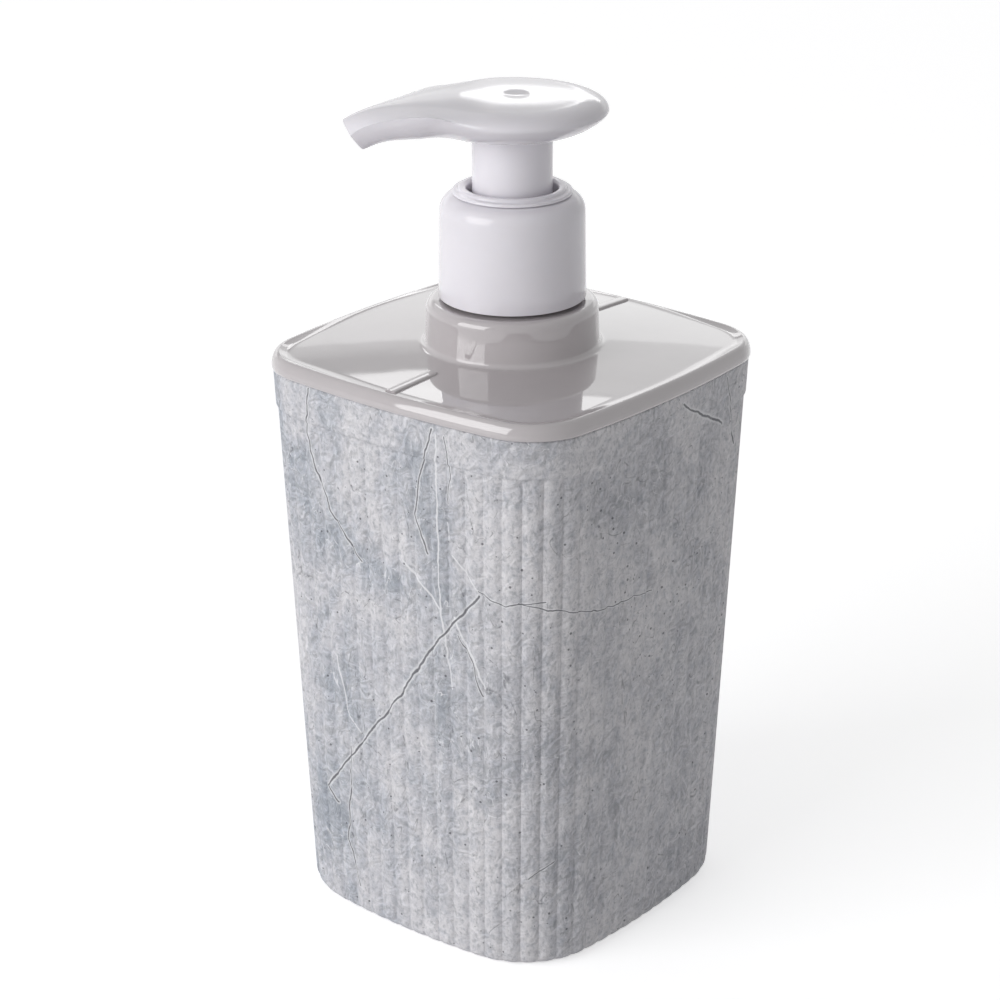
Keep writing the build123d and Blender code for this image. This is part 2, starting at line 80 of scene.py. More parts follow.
def faces_mesh(name, points, faces, crease=CREASE):
    """Object from points and four-sided faces. If the enclosed volume comes out negative, all faces are
    turned. Points that fall together are merged, so that a row shrunk to one point closes a pole. It is
    shaded smooth but for edges sharper than crease degrees."""
    a, b, c, d = (points[faces[:, k]] for k in range(4))
    if np.einsum("ij,ij->i", a, np.cross(b, c) + np.cross(c, d)).sum() < 0:
        faces = faces[:, ::-1]
    mesh = bpy.data.meshes.new(name)
    mesh.from_pydata(points.tolist(), [], faces.tolist())
    work = bmesh.new()
    work.from_mesh(mesh)
    bmesh.ops.remove_doubles(work, verts=work.verts, dist=1e-7)
    bmesh.ops.dissolve_degenerate(work, edges=work.edges, dist=1e-8)
    work.to_mesh(mesh)
    work.free()
    mesh.shade_smooth()
    mesh.set_sharp_from_angle(angle=radians(crease))
    piece = bpy.data.objects.new(name, mesh)
    scene.collection.objects.link(piece)
    print(f"{name}: {len(mesh.vertices)} points, {len(mesh.polygons)} faces")
    return piece


def sheet_mesh(name, grid, wrap_rows=False):
    """Object from a sheet of points of shape (rows, columns, 3), in metres."""
    index = np.arange(grid.shape[0] * grid.shape[1]).reshape(grid.shape[:2])
    return faces_mesh(name, grid.reshape(-1, 3), grid_faces(index, wrap_rows))


# %% Profiles
TURNED_COLUMNS = 160


def arc(centre, radius, start, end, count):
    """Points (across, up) on a circle from start to end, in degrees, both ends included."""
    angle = np.radians(np.linspace(start, end, count))
    return [(centre[0] + radius * c, centre[1] + radius * s) for c, s in zip(np.cos(angle), np.sin(angle))]


def line(start, end, count):
    """Points (across, up) on a straight line, both ends included."""
    share = np.linspace(0, 1, count)[:, None]
    return [tuple(p) for p in np.array(start) + (np.array(end) - np.array(start)) * share]


def turned(name, profile):
    """Surface of revolution about the pump's axis: each (radius, height) of the profile, in millimetres,
    is carried round a circle. The profile is a closed loop."""
    profile = np.array(profile) * MM
    angle = np.linspace(0, 2 * pi, TURNED_COLUMNS, endpoint=False)
    grid = np.empty((len(profile), TURNED_COLUMNS, 3))
    grid[..., 0] = profile[:, :1] * np.cos(angle)
    grid[..., 1] = profile[:, :1] * np.sin(angle)
    grid[..., 2] = profile[:, 1:]
    return sheet_mesh(name, grid, wrap_rows=True)


# %% [markdown]
# ## The bowed square
# The cup and the lid share one outline: a square whose sides bow outwards a little and run smoothly into
# round corners. Walking round it by length, and not by angle, keeps the ribs of the cup evenly spaced.

# %% Outline by length
def bowed_square(share, half, corner, bow):
    """Points and outward directions at a share of the way round, from the middle of the +X side.
    A quarter is half a side arc of radius bow, a corner arc of radius corner, and half a side arc.
    Both arcs turn about their own centre, and the direction of a point is its turning angle."""
    bow_centre = half - bow
    reach = bow - corner
    corner_centre = (bow_centre + np.sqrt(2 * reach**2 - bow_centre**2)) / 2
    opening = np.arctan2(corner_centre, corner_centre - bow_centre)
    side = bow * opening
    quarter = 2 * side + corner * (pi / 2 - 2 * opening)
    walked = (share * 4 % 1) * quarter
    turn = np.floor(share * 4) * pi / 2
    on_first, on_last = walked < side, walked > quarter - side
    angle = np.where(on_first, walked / bow, opening + (walked - side) / corner)
    angle = np.where(on_last, pi / 2 - (quarter - walked) / bow, angle)
    centre_x = np.where(on_first, bow_centre, np.where(on_last, 0, corner_centre))
    centre_y = np.where(on_first, 0, np.where(on_last, bow_centre, corner_centre))
    radius = np.where(on_first | on_last, bow, corner)
    x, y = centre_x + radius * np.cos(angle), centre_y + radius * np.sin(angle)
    out = np.stack([np.cos(angle + turn), np.sin(angle + turn)], axis=-1)
    return np.stack([x * np.cos(turn) - y * np.sin(turn), x * np.sin(turn) + y * np.cos(turn)], axis=-1), out


# %% The cup's taper
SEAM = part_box("cup")[1].z / MM
HALF_WIDTH = (37.05, 39.9)
CORNER_RADIUS = (19.0, 13.7)
BOW_RADIUS = (167.0, 250.0)


def cup_sizes(height, inset):
    """Half width, corner radius and side radius in millimetres at a height, moved inwards by inset. Each
    goes evenly from its size at the foot to its size at the seam."""
    share = height / SEAM
    return [foot + (seam - foot) * share - inset for foot, seam in (HALF_WIDTH, CORNER_RADIUS, BOW_RADIUS)]


print("seam height", round(SEAM, 2), "mm")

# %% [markdown]
# ## The cup
# A moulded tumbler with a plain band under the lid, a tiny ledge, and shallow upright ribs below it.
# The ribs are real relief, because their light and dark stripes show at the front corner.

# %% The rows of the cup
BAND = 8.0
LEDGE = 0.35
LEDGE_HEIGHT = SEAM - BAND
WALL = 2.0
FLOOR = 3.2
FOOT_ROUND = 3.0
FOOT_RING = 8.35
RECESS = 0.8
MOUTH_DEPTH, MOUTH_WIDTH = 0.6, 0.5


def cup_rows():
    """Rows of (height, inset, size, ribs) from the middle of the underside, up the outside, over the
    mouth and down inside. A size of 0 shrinks the row to a point, and ribs is the share of their depth."""
    rows = [(RECESS, FOOT_RING, 0, 0), (RECESS, FOOT_RING, 1, 0), (0.0, FOOT_RING, 1, 0)]
    foot = [(FOOT_ROUND - FOOT_ROUND * cos(a), FOOT_ROUND - FOOT_ROUND * sin(a))
            for a in np.linspace(0, pi / 2, 8)]
    rows += [(z, LEDGE + inset, 1, 0.4 + 0.6 * k / 7) for k, (z, inset) in enumerate(foot)]
    rows += [(z, LEDGE, 1, 1) for z in np.linspace(2 * FOOT_ROUND, LEDGE_HEIGHT - 1.2, 26)]
    rows += [(LEDGE_HEIGHT + up, inset, 1, ribs) for up, inset, ribs in [
        (-0.6, LEDGE, 0.85), (-0.3, LEDGE, 0.5), (-0.1, LEDGE - 0.03, 0.2),
        (0.05, LEDGE - 0.12, 0), (0.2, 0.08, 0), (0.4, 0, 0)]]
    rows += [(z, 0, 1, 0) for z in np.linspace(LEDGE_HEIGHT + 1, SEAM - MOUTH_DEPTH - 0.1, 5)]
    rows += [(SEAM - MOUTH_DEPTH + MOUTH_DEPTH * sin(a), MOUTH_WIDTH - MOUTH_WIDTH * cos(a), 1, 0)
             for a in np.linspace(0.2, pi / 2, 6)]
    rows += [(SEAM, WALL - 0.3, 1, 0), (SEAM - 0.3, WALL, 1, 0)]
    rows += [(z, WALL, 1, 0) for z in np.linspace(LEDGE_HEIGHT, FLOOR + 1.8, 12)]
    rows += [(FLOOR + 0.4, WALL + 0.5, 1, 0), (FLOOR, WALL + 1.6, 1, 0), (FLOOR, WALL + 1.6, 0, 0)]
    return np.array(rows)


print("rows of the cup:", len(cup_rows()))

# %% The cup
RIBS = 66
RIB_DEPTH = 0.42
RIB_ROUNDNESS = 1.4
COLUMNS_PER_RIB = 12


def cup_piece():
    """Each row is the outline at its height and inset. It is pushed in where two round ribs meet, by the
    rib's depth times a power of 1 less the size of a sine that crosses zero there."""
    rows = cup_rows()
    share = np.arange(RIBS * COLUMNS_PER_RIB) / (RIBS * COLUMNS_PER_RIB)
    half, corner, bow = cup_sizes(rows[:, :1], rows[:, 1:2])
    flat, out = bowed_square(share[None, :], half, corner, bow)
    wave = RIB_DEPTH * (1 - np.abs(np.sin(pi * RIBS * share)))**RIB_ROUNDNESS * rows[:, 3:4]
    flat = (flat - out * wave[..., None]) * rows[:, 2:3, None]
    height = np.broadcast_to(rows[:, :1, None], flat.shape[:2] + (1,))
    return sheet_mesh("printed_cup", np.concatenate([flat, height], axis=-1) * MM)


cup = cup_piece()
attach(cup, "cup")
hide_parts("cup")

# %% [markdown]
# ## The lid
# One glossy moulding. Its tray is a shallow dome that a bead runs round, and a boss rises from the
# middle. The outline changes from the boss's circle to the bowed square, so the rows are a blend of the
# two. A mirror finish shows every facet, which is why the lid is a fine grid and not the CAD mesh. Two
# low bars lie on the tray, before and behind the boss, and each is one section carried along a line.

# %% Sizes of the lid
OVERHANG = 0.4
RIM_HEIGHT = 3.3
RIM_WIDTH = 2.3
EDGE_DROP = 0.12
DOME = 0.7
LID_BASE = SEAM + 0.02
RIM_CREST = LID_BASE + RIM_HEIGHT
BOSS_RADIUS = 17.6
BOSS_DRAFT = 0.26
BOSS_ROUND = 1.8
BOSS_FOOT = 1.1
BOSS_TOP = LID_BASE + 13.2
NECK_BORE = 11.3
NECK_OUTER = 12.55
NECK_EDGE = 0.3
NECK_TOP = BOSS_TOP + 17.5


def tray_height(radius):
    """Height of the tray at a distance from the axis: a ball cap through the boss's foot and the rim."""
    edge = HALF_WIDTH[1] + OVERHANG - RIM_WIDTH
    depth = (edge**2 - BOSS_RADIUS**2 - DOME**2) / (2 * DOME)
    ball = sqrt(edge**2 + depth**2)
    return RIM_CREST - EDGE_DROP - depth + np.sqrt(ball**2 - radius**2)


TRAY_AT_BOSS = float(tray_height(BOSS_RADIUS + BOSS_FOOT))
print("lid: rim at", round(RIM_CREST, 2), "mm, tray at the boss", round(TRAY_AT_BOSS, 2), "mm")

# %% The rows of the lid
SLOPE_START, SLOPE_END = 3.6, 1.3
BEAD_WIDTH, BEAD_DEPTH = 1.6, 2.8
PLUG_BOTTOM = LID_BASE - 6


def neck_and_boss():
    """(radius, height) from the neck's mouth down to the foot of the boss, where it flares into the tray."""
    neck = [(NECK_BORE, NECK_TOP - NECK_EDGE), (NECK_BORE + NECK_EDGE, NECK_TOP),
            (NECK_OUTER - NECK_EDGE, NECK_TOP), (NECK_OUTER, NECK_TOP - NECK_EDGE),
            (NECK_OUTER, BOSS_TOP + NECK_EDGE), (NECK_OUTER + NECK_EDGE, BOSS_TOP)]
    shoulder = arc((BOSS_RADIUS - BOSS_ROUND, BOSS_TOP - BOSS_ROUND), BOSS_ROUND, 90, 2, 10)
    side = line((BOSS_RADIUS, BOSS_TOP - 2), (BOSS_RADIUS + BOSS_DRAFT, TRAY_AT_BOSS + BOSS_FOOT), 5)
    centre = (BOSS_RADIUS + BOSS_FOOT + BOSS_DRAFT, TRAY_AT_BOSS + BOSS_FOOT)
    return neck + shoulder + side + arc(centre, BOSS_FOOT, 188, 266, 7)


def bead_and_plug():
    """(inset, height) from the rim's crest over the round bead to the lower edge, then down and up again
    round the plug that sits in the cup."""
    bead = [(BEAD_WIDTH - OVERHANG - BEAD_WIDTH * x, RIM_CREST - BEAD_DEPTH * (1 - y))
            for x, y in arc((0, 0), 1.0, 92, 0, 17)]
    edge = [(-OVERHANG + 0.08, LID_BASE + 0.25), (-OVERHANG + 0.25, LID_BASE + 0.08), (0.1, LID_BASE)]
    plug = [(2.2, LID_BASE), (2.3, LID_BASE - 0.1), (2.4, PLUG_BOTTOM + 0.4), (2.8, PLUG_BOTTOM),
            (3.4, PLUG_BOTTOM), (3.8, PLUG_BOTTOM + 0.4), (3.8, LID_BASE)]
    return bead + edge + plug


def lid_rows():
    """Rows of (blend, radius, inset, height): blend 0 is a circle of that radius and blend 1 the cup's
    outline at that inset. On the tray the height is None and the dome gives it. On the slope up to the
    rim it is minus the share of the way from the dome to the rim's crest."""
    rows = [(0, radius, 0, height) for radius, height in neck_and_boss()]
    rows += [(b, BOSS_RADIUS + BOSS_FOOT + 0.4, SLOPE_START, None) for b in np.linspace(0.01, 1, 40)]
    rows += [(1, 0, SLOPE_START - (SLOPE_START - SLOPE_END) * t, -t**1.5) for t in np.linspace(0.1, 1.0, 13)]
    rows += [(1, 0, inset, height) for inset, height in bead_and_plug()]
    return rows + [(0, BOSS_RADIUS - WALL, 0, LID_BASE), (0, BOSS_RADIUS - WALL, 0, BOSS_TOP - WALL),
                   (0, NECK_BORE, 0, BOSS_TOP - WALL)]


print("rows of the lid:", len(lid_rows()))

# %% The lid
LID_COLUMNS = 480


def lid_piece():
    """Closed shell: each row is a mix of its circle and its outline, by the blend."""
    rows = lid_rows()
    blend = np.array([row[0] for row in rows])[:, None, None]
    radius, inset = (np.array([row[k] for row in rows])[:, None] for k in (1, 2))
    share = np.arange(LID_COLUMNS) / LID_COLUMNS
    angle = 2 * pi * share
    circle = radius[..., None] * np.stack([np.cos(angle), np.sin(angle)], axis=-1)
    square = bowed_square(share[None, :], *cup_sizes(np.full_like(inset, SEAM), inset))[0]
    flat = circle * (1 - blend) + square * blend
    dome = tray_height(np.hypot(flat[..., 0], flat[..., 1]))
    height = np.array([[np.nan if row[3] is None else row[3]] for row in rows]) * np.ones((1, LID_COLUMNS))
    height = np.where(np.isnan(height), dome, height)
    height = np.where(height < 0, dome - height * (RIM_CREST - dome), height)
    return sheet_mesh("glossy_lid", np.concatenate([flat, height[..., None]], axis=-1) * MM, wrap_rows=True)


lid = lid_piece()
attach(lid, "lid")
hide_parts("lid")

# %% The bars on the tray
BAR_HALF, BAR_RISE, BAR_SINK, BAR_ROUND = 1.25, 0.4, 0.3, 0.3
BAR_ENDS = (25.0, 37.9)


def bar_piece(side):
    """Low bar on the tray, before (side -1) or behind (side 1) the boss. Its section is a closed loop
    with a rounded top. The top follows the dome and the foot is sunk in it."""
    section = np.array([(-BAR_HALF, -BAR_SINK), (BAR_HALF, -BAR_SINK)]
                       + arc((BAR_HALF - BAR_ROUND, BAR_RISE - BAR_ROUND), BAR_ROUND, 0, 90, 5)
                       + arc((BAR_ROUND - BAR_HALF, BAR_RISE - BAR_ROUND), BAR_ROUND, 90, 180, 5))
    along = np.linspace(*BAR_ENDS, 24)
    grid = np.empty((len(along), len(section), 3))
    grid[..., 0], grid[..., 1] = section[:, 0] * -side, side * along[:, None]
    grid[..., 2] = tray_height(along)[:, None] + section[:, 1]
    ends = grid[[0, -1]].mean(axis=1, keepdims=True) * np.ones((1, len(section), 1))
    grid = np.concatenate([ends[:1], grid, ends[1:]])
    return sheet_mesh(f"tray_bar_{'front' if side < 0 else 'back'}", grid * MM)


bars = [bar_piece(side) for side in (-1, 1)]
for bar in bars:
    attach(bar, "lid")

# %% [markdown]
# ## Screw thread
# A ridge that climbs one pitch a turn. It is a four-sided section carried along a helix, with its ends
# run down to nothing, as a mould leaves them.

# %% The screw thread
PITCH = 4.23
THREAD_DEPTH = 1.1
THREAD_BURIED = 0.15
THREAD_FADE = 0.08
THREAD_COLUMNS = 120
THREAD_TOP = NECK_TOP - 2
NECK_TURNS = 1.5


def thread(name, root, depth, start_height, start_turn, turns):
    """Ridge on a root radius, outwards where the depth is positive and inwards where it is negative. The
    section's corners keep their radius, and height is start height plus pitch times turns gone. At both
    ends, over THREAD_FADE of a turn, the crest sinks into the root."""
    gone = np.linspace(0, turns, int(THREAD_COLUMNS * turns))
    angle = 2 * pi * (gone + start_turn)
    fade = np.clip(np.minimum(gone, turns - gone) / THREAD_FADE, 0, 1)
    buried = root - np.sign(depth) * THREAD_BURIED
    crest = root + depth * fade
    grid = np.empty((len(gone), 4, 3))
    for k, (radius, up) in enumerate([(buried, -1.0), (buried, 1.0), (crest, 0.5), (crest, -0.5)]):
        height = start_height + PITCH * gone + up
        grid[:, k] = np.stack([radius * np.cos(angle), radius * np.sin(angle), height], axis=-1)
    ends = [np.repeat(grid[k:k + 1].mean(axis=1, keepdims=True), 4, axis=1) for k in (0, -1)]
    return sheet_mesh(name, np.concatenate([ends[0], grid, ends[1]]) * MM)


neck_thread = thread("neck_thread", NECK_OUTER, THREAD_DEPTH, THREAD_TOP - NECK_TURNS * PITCH, 0, NECK_TURNS)
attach(neck_thread, "lid")

# %% [markdown]
# ## The collar and the ring on it
# The screw collar is a smooth cup with a round shoulder. The stepped ring above it belongs to the pump's
# body and leaves a dark gap round the sleeve of the head.

# %% The collar
GASKET, FLANGE, CEILING = 1.2, 1.3, 1.9
COLLAR_CEILING = NECK_TOP + 0.02 + GASKET + FLANGE + 0.1
COLLAR_TOP = COLLAR_CEILING + CEILING
COLLAR_BASE = BOSS_TOP + 0.67
COLLAR_FOOT, COLLAR_NECK = 15.0, 14.72
COLLAR_SHOULDER = 3.5
COLLAR_HOLE = 10.45
COLLAR_BORE = 13.95
CEILING_ROUND = 1.75
COLLAR_TURNS = 1.25


def collar_piece():
    """Turned shell: outside with a slight draft, round shoulder, top, hole, ceiling, inner wall."""
    outside = line((COLLAR_FOOT, COLLAR_BASE + 0.25), (COLLAR_NECK, COLLAR_TOP - COLLAR_SHOULDER), 6)
    centre = (COLLAR_NECK - COLLAR_SHOULDER, COLLAR_TOP - COLLAR_SHOULDER)
    shoulder = arc(centre, COLLAR_SHOULDER, 3, 90, 14)
    top = [(COLLAR_HOLE + 0.1, COLLAR_TOP), (COLLAR_HOLE, COLLAR_TOP - 0.1), (COLLAR_HOLE, COLLAR_CEILING)]
    inside = arc((COLLAR_BORE - CEILING_ROUND, COLLAR_CEILING - CEILING_ROUND), CEILING_ROUND, 90, 3, 8)
    mouth = [(COLLAR_BORE, COLLAR_BASE + 0.2), (COLLAR_BORE + 0.15, COLLAR_BASE),
             (COLLAR_FOOT - 0.2, COLLAR_BASE), (COLLAR_FOOT - 0.07, COLLAR_BASE + 0.08)]
    return turned("screw_collar", outside + shoulder + top + inside + mouth)


collar = collar_piece()
collar_thread = thread("collar_thread", COLLAR_BORE, -THREAD_DEPTH,
                       THREAD_TOP - 2 * COLLAR_TURNS * PITCH, -0.5, COLLAR_TURNS)
for piece in (collar, collar_thread):
    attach(piece, "collar")
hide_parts("closure_collar")

# %% The stepped ring
RING_BASE = COLLAR_TOP + 0.1
LIP_TOP = RING_BASE + 1.35
STROKE = 10.1
SLEEVE_BASE = LIP_TOP - 4.4
WELL_FLOOR = SLEEVE_BASE - STROKE - 1.3
RING_RADIUS = 12.1
RING_STEM = 10.15
STEP_ROUND = 0.35
LIP_RADIUS = 11.0
LIP_ROUND, LIP_FALL = 0.5, 0.8
WELL_RADIUS = 9.2
GUIDE_HOLE = 4.1


def chaplet_piece():
    """Turned ring: flange on the collar, rounded step, rounded lip, and a deep well with a guide hole."""
    flange = [(RING_STEM, RING_BASE), (RING_RADIUS - 0.15, RING_BASE), (RING_RADIUS, RING_BASE + 0.12),
              (RING_RADIUS, RING_BASE + STEP_ROUND)]
    step = arc((RING_RADIUS - STEP_ROUND, RING_BASE + STEP_ROUND), STEP_ROUND, 0, 90, 5)
    hollow = arc((LIP_RADIUS + 0.3, RING_BASE + 1.0), 0.3, 270, 180, 4)
    lip = arc((LIP_RADIUS - LIP_ROUND, LIP_TOP - LIP_ROUND), LIP_ROUND, 10, 90, 6)
    fall = arc((WELL_RADIUS + LIP_FALL, LIP_TOP - LIP_FALL), LIP_FALL, 90, 180, 8)
    well = [(WELL_RADIUS, WELL_FLOOR), (GUIDE_HOLE, WELL_FLOOR), (GUIDE_HOLE, WELL_FLOOR - 1.5),
            (RING_STEM, WELL_FLOOR - 1.5)]
    return turned("stepped_ring", flange + step + hollow + lip + fall + well)


chaplet = chaplet_piece()
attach(chaplet, "pump")
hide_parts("chaplet")

# %% [markdown]
# ## The head
# The head is two mouldings: a thumb plate above and a belly with the sleeve below. They meet along the
# crease on the spout's flank, and half of the soap's channel is let into each. Both come from one law:
# the outline in plan, the line of the top, the crease and the underside, each a function of the
# distance from the axis along the spout.

# %% Lines of the head
HEADING = radians(219.0)
KEEL = 0.5
BELLY = LIP_TOP + STROKE + 0.4 + KEEL
FLANK = 4.7
ARCH = 3.0
CROWN = BELLY + FLANK + ARCH
HEAD_RADIUS = 19.2
ROOT = 9.6
REACH = 33.9
SPARE = 1.5
TIP_HALF = 3.4
TOP_DROP = 5.6
CREASE_RISE, CREASE_DROP = 1.8, 1.6
UNDER_DROP = 3.4


def smooth(low, high, value):
    """0 below low, 1 above high, and an S-curve between them."""
    share = np.clip((value - low) / (high - low), 0, 1)
    return share * share * (3 - 2 * share)


def head_lines(along):
    """Half width, top, crease and underside, in millimetres, at distances along the spout's heading.
    Up to the root the width is the circle's and the top is level. Beyond it they follow powers of the
    share of the spout's length, which runs on a little past the outlet so that the tip stays blunt. The
    crease lies an arch below the top and climbs towards it along an S-curve."""
    share = np.clip((along - ROOT) / (REACH + SPARE - ROOT), 0, 1)
    left = 1 - share
    root_half = sqrt(HEAD_RADIUS**2 - ROOT**2)
    circle = np.sqrt(np.clip(HEAD_RADIUS**2 - along**2, 0, None))
    half = np.where(along < ROOT, circle, TIP_HALF + (root_half - TIP_HALF) * left**1.15)
    top = CROWN - TOP_DROP * share**2.1
    crease = top - ARCH + CREASE_RISE * smooth(2, 18, along) - CREASE_DROP * share**2
    under = BELLY - KEEL * smooth(0, ROOT, along) - UNDER_DROP * share**2.5
    return half, top, crease, under


print("crown of the head:", round(CROWN, 2), "mm")

# %% Faces of the head
SLEEVE_RADIUS = 8.1
ROLL = 5.0
BLEND_START, BLEND_END = 3, 19
BOWL_SHARE = 0.65
CROWN_FALL, CROWN_FALL_RADIUS = 0.35, 14
DISH_RADIUS, DISH_DEPTH, DISH_BACK = 12.0, 0.08, 0.8
GATE_RADIUS, GATE_DEPTH = 2.8, 0.3
PARTING = 0.06
GAP = 0.003


def quarter(edge):
    """Height of a quarter circle of radius 1, at a share of the way in from its edge."""
    return np.sqrt(np.clip(1 - (1 - edge)**2, 0, 1))


def head_surface(along, across, upper):
    """Height of the head's outer face. The round part rolls over like a quarter of an ellipse, the
    spout is a parabola from crease to crease, and an S-curve leads from the one to the other. The
    upper face also has the thumb dish and the small mark left by the mould's gate."""
    half, top, crease, under = head_lines(along)
    spout = 1 - np.clip(np.abs(across) / np.maximum(half, 1e-9), 0, 1)**2
    radius = np.hypot(along, across)
    mix = smooth(BLEND_START, BLEND_END, along)
    if not upper:
        edge = np.clip((HEAD_RADIUS - radius) / (HEAD_RADIUS - SLEEVE_RADIUS), 0, 1)
        bowl = 1 - (1 - edge)**2.2
        round_share = (1 - BOWL_SHARE) * quarter(edge) + BOWL_SHARE * bowl
        full = 1 - (1 - spout)**1.6
        start = crease - PARTING - GAP
        return start - (start - under) * (round_share * (1 - mix) + full * mix)
    rolled = quarter(np.clip((HEAD_RADIUS - radius) / ROLL, 0, 1))
    top = top - CROWN_FALL * np.clip(radius / CROWN_FALL_RADIUS, 0, 1)**2
    height = crease + (top - crease) * (rolled * (1 - mix) + spout * mix)
    from_dish = np.hypot(along + DISH_BACK, across)
    height -= DISH_DEPTH * smooth(0, 1, 1 - from_dish / DISH_RADIUS)
    return height - GATE_DEPTH * np.clip(1 - (from_dish / GATE_RADIUS)**2, 0, 1)**0.8


print("spout: outlet", round(REACH, 1), "mm from the axis, the parting", PARTING, "mm under the crease")

# %% One moulding of the head
HEAD_ROWS = 150
FACE_COLUMNS = 48
ROUND_ROWS = 0.45
FACE_SLOPE = tan(radians(35))
SHEAR_LENGTH = 12
CHANNEL = 1.5
CHANNEL_WALL = 0.5
HEAD_CREASE = 30


def head_moulding(name, upper):
    """One moulding. Rows run from the back of the round to the tip, closer together where the outline
    turns fast. Columns cross the outer face from edge to edge and come back along the joint, where a half
    round channel is let in near the tip. The rows near the tip are sheared so that the outlet face looks
    down, and the whole is turned to its heading."""
    turn = np.linspace(0, 1, HEAD_ROWS)
    back = HEAD_RADIUS - HEAD_RADIUS * np.cos(pi / 2 * np.minimum(turn / ROUND_ROWS, 1))
    along = -HEAD_RADIUS + back + REACH * np.clip((turn - ROUND_ROWS) / (1 - ROUND_ROWS), 0, 1)
    half, _, crease, _ = head_lines(along)
    across = half[:, None] * np.sin(np.linspace(-pi / 2, pi / 2, FACE_COLUMNS))
    side = 1 if upper else -1
    parting = np.broadcast_to(crease[:, None] - PARTING + side * GAP, across.shape)
    outer = side * np.maximum(side * head_surface(along[:, None], across, upper), side * parting)
    channel = np.sqrt(np.clip(CHANNEL**2 - across**2, 0, None)) * smooth(6, 10, along)[:, None]
    wall = np.maximum(side * outer - CHANNEL_WALL, side * parting)
    joint = side * np.minimum(side * parting + channel, wall)
    shear = FACE_SLOPE * smooth(REACH - SHEAR_LENGTH, REACH, along)[:, None]
    top_line = head_lines(np.array([REACH]))[1][0]
    z = np.concatenate([outer, joint[:, ::-1]], axis=1)
    y = np.concatenate([across, across[:, ::-1]], axis=1)
    x = along[:, None] - shear * (top_line - z)
    headed = [x * cos(HEADING) - y * sin(HEADING), x * sin(HEADING) + y * cos(HEADING), z]
    return close_tip(name, np.stack(headed, axis=-1) * MM)


def close_tip(name, grid):
    """Mesh of a moulding's grid, with the back gathered to a point and the tip filled between the outer
    face and the joint by a strip of four-sided faces."""
    grid[0] = grid[0].mean(axis=0)
    index = np.arange(grid.shape[0] * grid.shape[1]).reshape(grid.shape[:2])
    outer, inner = index[-1, :FACE_COLUMNS], index[-1, FACE_COLUMNS:][::-1]
    tip = np.stack([outer[:-1], outer[1:], inner[1:], inner[:-1]], axis=-1)
    return faces_mesh(name, grid.reshape(-1, 3), np.concatenate([grid_faces(index), tip]), HEAD_CREASE)


# %% The head
SLEEVE_BORE = 7.0
SLEEVE_EDGE = 0.2
SLEEVE_TOP = BELLY + 0.6
plate = head_moulding("thumb_plate", upper=True)
belly = head_moulding("head_belly", upper=False)
sleeve = turned("head_sleeve", [
    (SLEEVE_BORE, SLEEVE_BASE + SLEEVE_EDGE), (SLEEVE_BORE + SLEEVE_EDGE, SLEEVE_BASE),
    (SLEEVE_RADIUS - SLEEVE_EDGE, SLEEVE_BASE), (SLEEVE_RADIUS, SLEEVE_BASE + SLEEVE_EDGE),
    (SLEEVE_RADIUS, SLEEVE_TOP), (SLEEVE_BORE, SLEEVE_TOP)])
for piece in (plate, belly, sleeve):
    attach(piece, "head")
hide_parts("head_top")
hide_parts("head_base")

# %% [markdown]
# ## Finishes
# Colours are written as sRGB hex codes, as one would pick them, and turned to linear light by one
# function. A second function adds any shader node with its settings and its links in one line. Patterns
# read Object coordinates, which are metres on the piece itself, so a noise with a Scale of 1000 has
# grains about a millimetre wide, and one with a Scale of 100 about ten.

# %% Colours
def colour(code):
    """Linear red, green, blue and alpha from an sRGB hex code."""
    channels = np.array([int(code[k:k + 2], 16) for k in (1, 3, 5)]) / 255
    linear = np.where(channels <= 0.04045, channels / 12.92, ((channels + 0.055) / 1.055)**2.4)
    return (*linear.tolist(), 1.0)


print("the middle grey #808080 is", round(colour("#808080")[0], 3), "in linear light")


# %% Nodes
def wire(tree, node, sockets):
    """Sets sockets of a node, given by name or place. A constant becomes the socket's own value. A node
    or one of its outputs is linked to it, and a node stands for its first output."""
    for key, value in sockets.items():
        if isinstance(value, bpy.types.Node):
            value = value.outputs[0]
        if isinstance(value, bpy.types.NodeSocket):
            tree.links.new(value, node.inputs[key])
        else:
            node.inputs[key].default_value = value


def add(tree, kind, *values, stops=(), **settings):
    """New node of a kind. Values go to its first sockets in their order. A setting in small letters is an
    attribute, and one with a capital is a socket. Stops are the positions and hex codes of a colour ramp.
    Returns the node."""
    node = tree.nodes.new("ShaderNode" + kind)
    sockets = dict(enumerate(values))
    for key, value in settings.items():
        if key.islower():
            setattr(node, key, value)
        else:
            sockets[key] = value
    wire(tree, node, sockets)
    if stops:
        for _ in stops[2:]:
            node.color_ramp.elements.new(0.5)
        for element, (place, code) in zip(node.color_ramp.elements, stops):
            element.position, element.color = place, colour(code)
    return node


def blank(name):
    """Material with a Principled shader wired to its output, its node tree and the shader."""
    material = bpy.data.materials.new(name)
    material.use_nodes = True
    tree = material.node_tree
    return material, tree, tree.nodes["Principled BSDF"]
